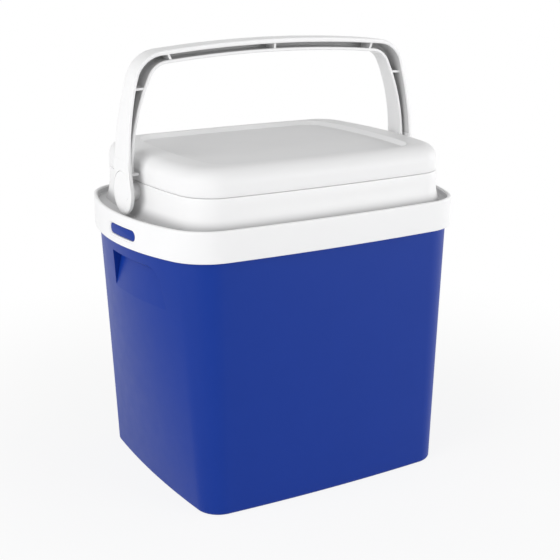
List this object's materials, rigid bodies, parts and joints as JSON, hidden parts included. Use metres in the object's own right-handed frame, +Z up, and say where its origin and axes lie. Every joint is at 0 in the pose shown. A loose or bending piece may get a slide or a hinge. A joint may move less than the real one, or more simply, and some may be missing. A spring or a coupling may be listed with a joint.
{
  "type": "cooler chest",
  "caption": "Passive cooler chest: tapered blue insulated body, white rim collar with a gutter, lift-off lid with a tray top and a bail handle that swings on end pivots.",
  "frame": {"origin": "middle of the base's resting face, on the surface the chest stands on", "axes": "+X along the long side to the right seen from the front, +Y to the back, +Z up"},
  "size_m": [0.4, 0.287, 0.5017],
  "materials": {
    "shell_blue": "fine satin moulded polypropylene, cobalt blue",
    "rim_white": "smooth white moulded polypropylene",
    "liner_white": "white food-safe moulded polypropylene",
    "lid_white": "smooth white moulded polypropylene with a fine-textured tray",
    "handle_white": "smooth white moulded polypropylene",
    "button_white": "polished white moulded polypropylene",
    "foam": "rigid insulating foam"
  },
  "bodies": {
    "chest": {"outer_shell": "shell_blue", "body_insulation": "foam", "inner_liner": "liner_white", "rim_collar": "rim_white", "pivot_button_left": "button_white", "pivot_button_right": "button_white"},
    "lid": {"lid_cover": "lid_white", "lid_liner": "liner_white", "lid_insulation": "foam"},
    "handle": {"handle_bow": "handle_white"}
  },
  "joints": [
    {"name": "handle_swing", "type": "hinge", "parent": "chest", "child": "handle", "pos_m": [0, 0, 0.3435], "axis": [1, 0, 0], "range_deg": [-90, 90]},
    {"name": "lid_lift", "type": "slide", "parent": "chest", "child": "lid", "axis": [0, 0, 1], "range_m": [0, 0.045]}
  ]
}
